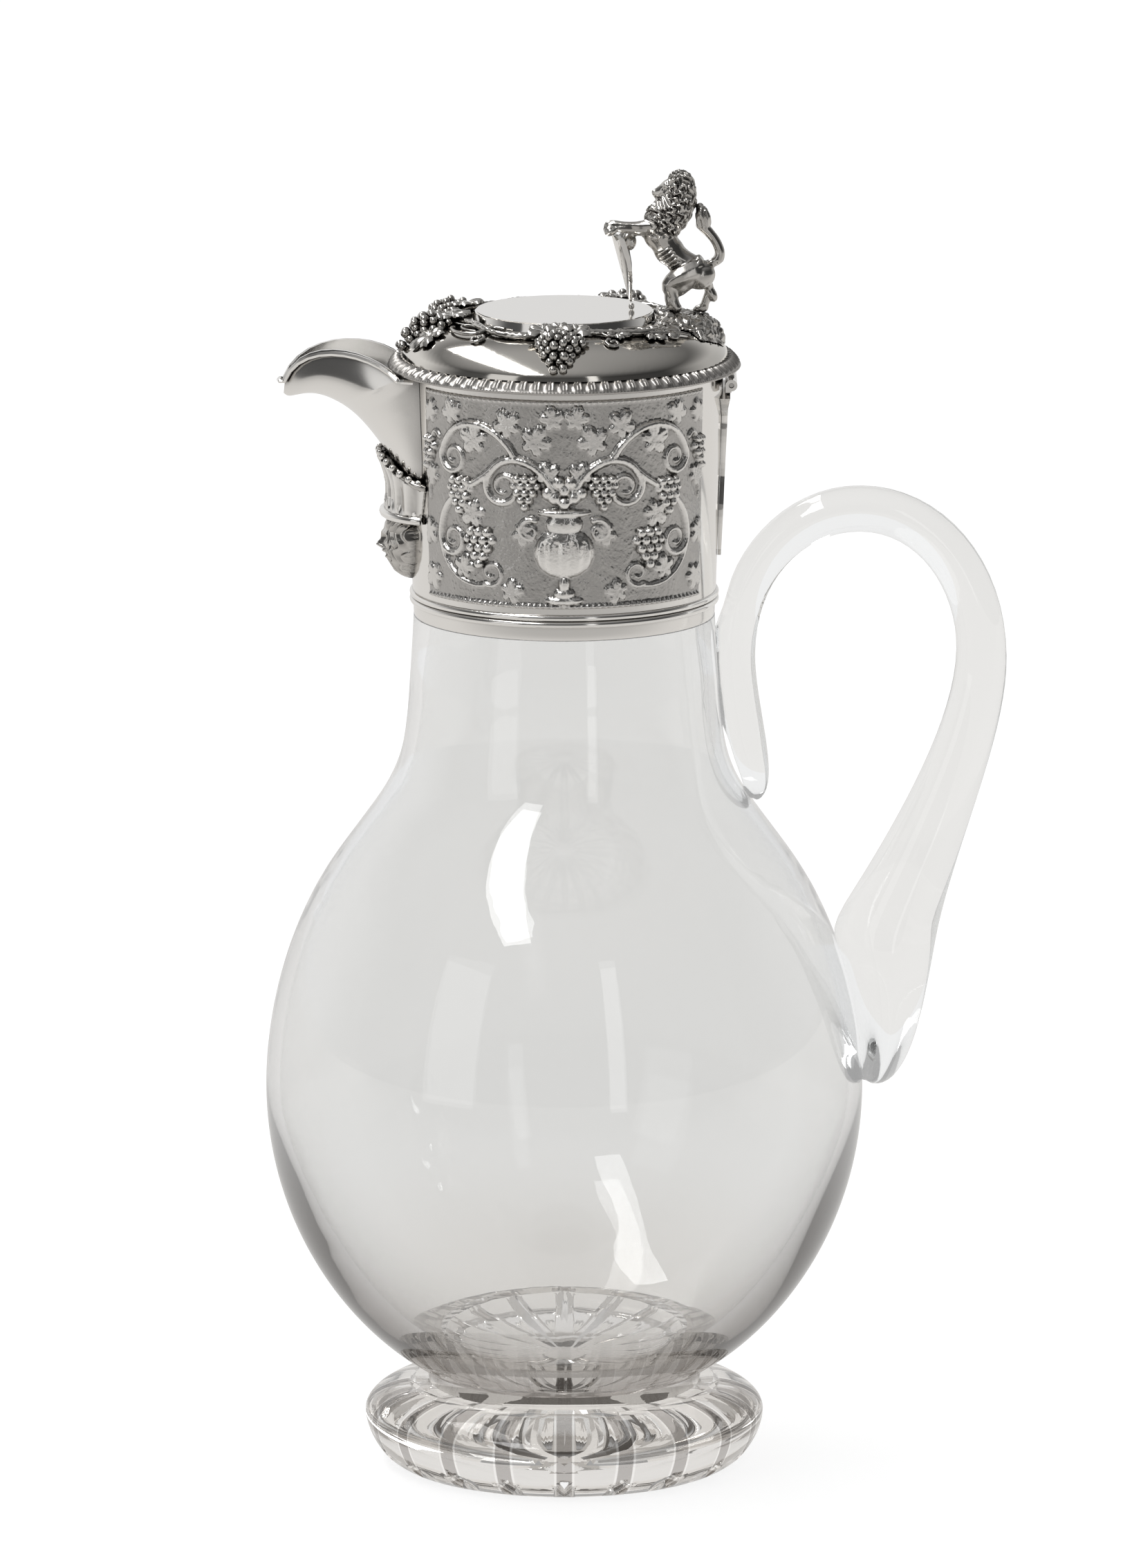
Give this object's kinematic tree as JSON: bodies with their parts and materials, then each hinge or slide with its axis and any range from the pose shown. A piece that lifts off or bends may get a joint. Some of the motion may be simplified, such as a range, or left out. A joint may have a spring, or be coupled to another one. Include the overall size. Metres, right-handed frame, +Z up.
{
  "type": "claret jug",
  "caption": "Footed glass claret jug with a glass handle, a silver collar with a beaked spout, and a hinged domed lid with a lion finial.",
  "frame": {"origin": "middle of the ring on the foot's underside that the jug stands on", "axes": "+Z up along the jug's axis, +X towards the handle and the hinge, -X towards the spout"},
  "size_m": [0.165, 0.1332, 0.292],
  "materials": {
    "clear_glass": "polished clear lead glass",
    "silver": "polished silver",
    "polished_silver": "mirror polished silver",
    "oxidised_silver": "cast and chased silver, dark in the recesses",
    "pin_steel": "drawn wire",
    "cement": "matt plaster"
  },
  "bodies": {
    "jug": {"glass_body": "clear_glass", "glass_foot": "clear_glass", "glass_handle": "clear_glass", "neck_cement": "cement", "collar_sleeve": "oxidised_silver", "collar_skirt": "silver", "collar_reeds": "silver", "spout_body": "silver", "spout_rim_wire": "silver", "spout_crest": "silver", "crest_beads": "oxidised_silver", "spout_mask": "oxidised_silver", "hinge_plate": "silver", "hinge_fixed_knuckles": "silver", "hinge_pin": "pin_steel"},
    "lid": {"hinge_lid_knuckles": "silver", "lid_bezel": "silver", "lid_border": "oxidised_silver", "lid_dome": "oxidised_silver", "lid_disc": "polished_silver", "vine_stem": "oxidised_silver", "vine_leaves": "oxidised_silver", "vine_grapes": "oxidised_silver", "finial_mound": "oxidised_silver", "finial_lion": "oxidised_silver", "finial_shield": "polished_silver"}
  },
  "joints": [
    {"name": "lid_hinge", "type": "hinge", "parent": "jug", "child": "lid", "pos_m": [0.0368, 0, 0.2455], "axis": [0, 1, 0], "range_deg": [0, 100]}
  ]
}
